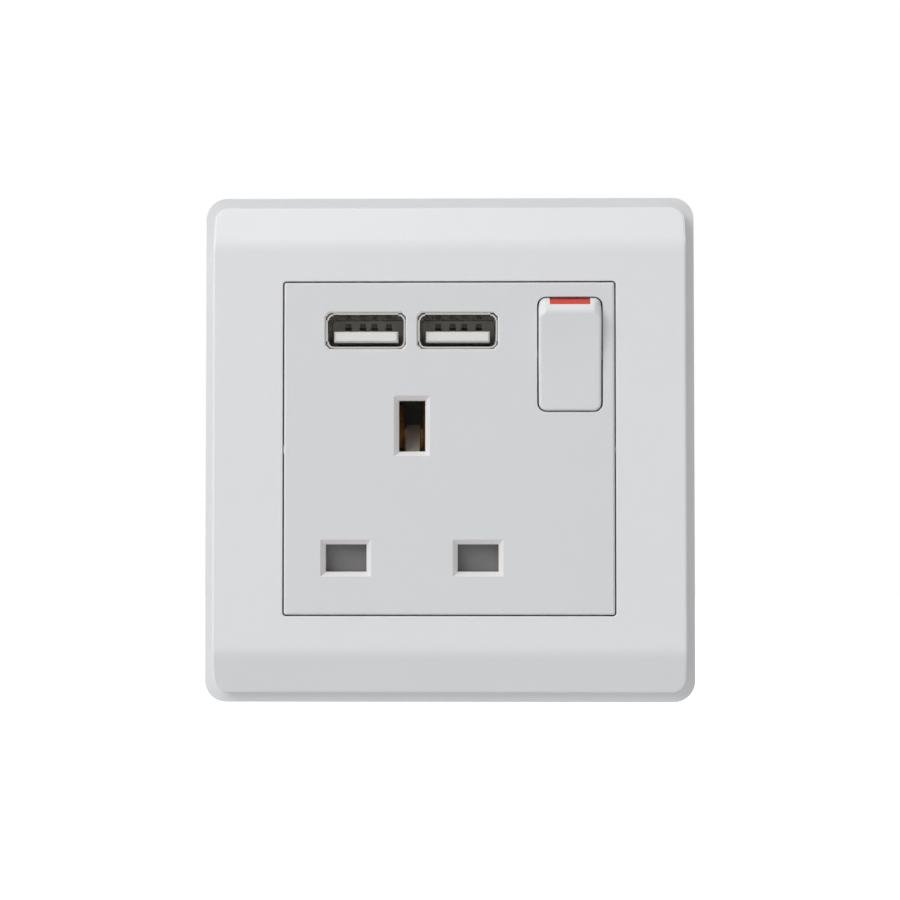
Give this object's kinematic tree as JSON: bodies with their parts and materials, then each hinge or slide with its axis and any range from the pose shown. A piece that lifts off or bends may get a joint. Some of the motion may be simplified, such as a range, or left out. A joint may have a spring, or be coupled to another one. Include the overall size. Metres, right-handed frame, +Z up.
{
  "type": "switched wall socket with usb ports",
  "caption": "Square flush wall socket for three flat pins, with a rocker switch, a sliding pin shutter, USB charging ports and a clip-on front over a bevelled wall frame.",
  "frame": {"origin": "midway between the two wall-fixing holes, on the wall plane at the back of the bevelled rim", "axes": "+X to the right as seen from the front, +Y into the wall, +Z up"},
  "size_m": [0.0832, 0.0334, 0.0858],
  "materials": {
    "cover_plastic": "satin moulded white",
    "frame_plastic": "satin moulded white",
    "panel_plastic": "satin moulded white",
    "housing_plastic": "matt moulded off-white",
    "rocker_plastic": "satin moulded white",
    "red_plastic": "moulded red strip",
    "grey_plastic": "moulded grey",
    "white_plastic": "moulded white",
    "spring_steel": "drawn wire",
    "screw_steel": "zinc plated",
    "brass": "pressed strip and bar",
    "silver_contact": "silver rivet",
    "port_steel": "nickel-plated sheet",
    "gold_contact": "gold-plated strip",
    "board_green": "glass-fibre board",
    "ferrite": "pressed ferrite",
    "yellow_tape": "wrapped tape",
    "film_box": "moulded box",
    "can_sleeve": "shrunk sleeve",
    "chip_black": "moulded black",
    "brown_sleeve": "wire insulation",
    "blue_sleeve": "wire insulation"
  },
  "bodies": {
    "body": {"cover_frame": "cover_plastic", "back_frame": "frame_plastic", "face_panel": "panel_plastic", "rear_housing": "housing_plastic", "housing_screws": "screw_steel", "fixed_tip": "silver_contact", "switched_live_strap": "brass", "shutter_spring": "spring_steel", "live_contact": "brass", "neutral_contact": "brass", "earth_contact": "brass", "live_terminal": "brass", "neutral_terminal": "brass", "earth_terminal": "brass", "terminal_screws": "screw_steel", "usb_shell_left": "port_steel", "usb_shell_right": "port_steel", "usb_insulator_left": "white_plastic", "usb_insulator_right": "white_plastic", "usb_contacts_left": "gold_contact", "usb_contacts_right": "gold_contact", "charger_board": "board_green", "transformer_core": "ferrite", "transformer_winding": "yellow_tape", "input_capacitor": "film_box", "output_capacitor": "can_sleeve", "bridge_rectifier": "chip_black", "controller_chip": "chip_black", "live_lead": "brown_sleeve", "neutral_lead": "blue_sleeve"},
    "rocker": {"rocker": "rocker_plastic", "on_flag": "red_plastic", "plunger_spring": "spring_steel"},
    "plunger": {"plunger": "grey_plastic"},
    "contact_arm": {"contact_arm": "brass", "moving_tip": "silver_contact"},
    "shutter": {"shutter": "grey_plastic"}
  },
  "joints": [
    {"name": "rocker_tilt", "type": "hinge", "parent": "body", "child": "rocker", "pos_m": [0.02033, -0.0062, 0.0158], "axis": [1, 0, 0], "range_deg": [-14, 0]},
    {"name": "plunger_slide", "type": "slide", "parent": "rocker", "child": "plunger", "axis": [0, 0.9925, 0.1219], "range_m": [-0.0005, 0], "stiffness_N_per_m": 100, "springref_m": 0.006, "deforming": ["plunger_spring"]},
    {"name": "contact_arm_rock", "type": "hinge", "parent": "body", "child": "contact_arm", "pos_m": [0.02033, 0.0034, 0.0158], "axis": [1, 0, 0], "range_deg": [0, 10]},
    {"name": "shutter_slide", "type": "slide", "parent": "body", "child": "shutter", "axis": [0, 0, -1], "range_m": [0, 0.0047], "stiffness_N_per_m": 60, "springref_m": -0.01, "deforming": ["shutter_spring"]}
  ],
  "couplings": [
    {"joint": "contact_arm_rock", "follows": "rocker_tilt", "ratio": -0.7142}
  ]
}
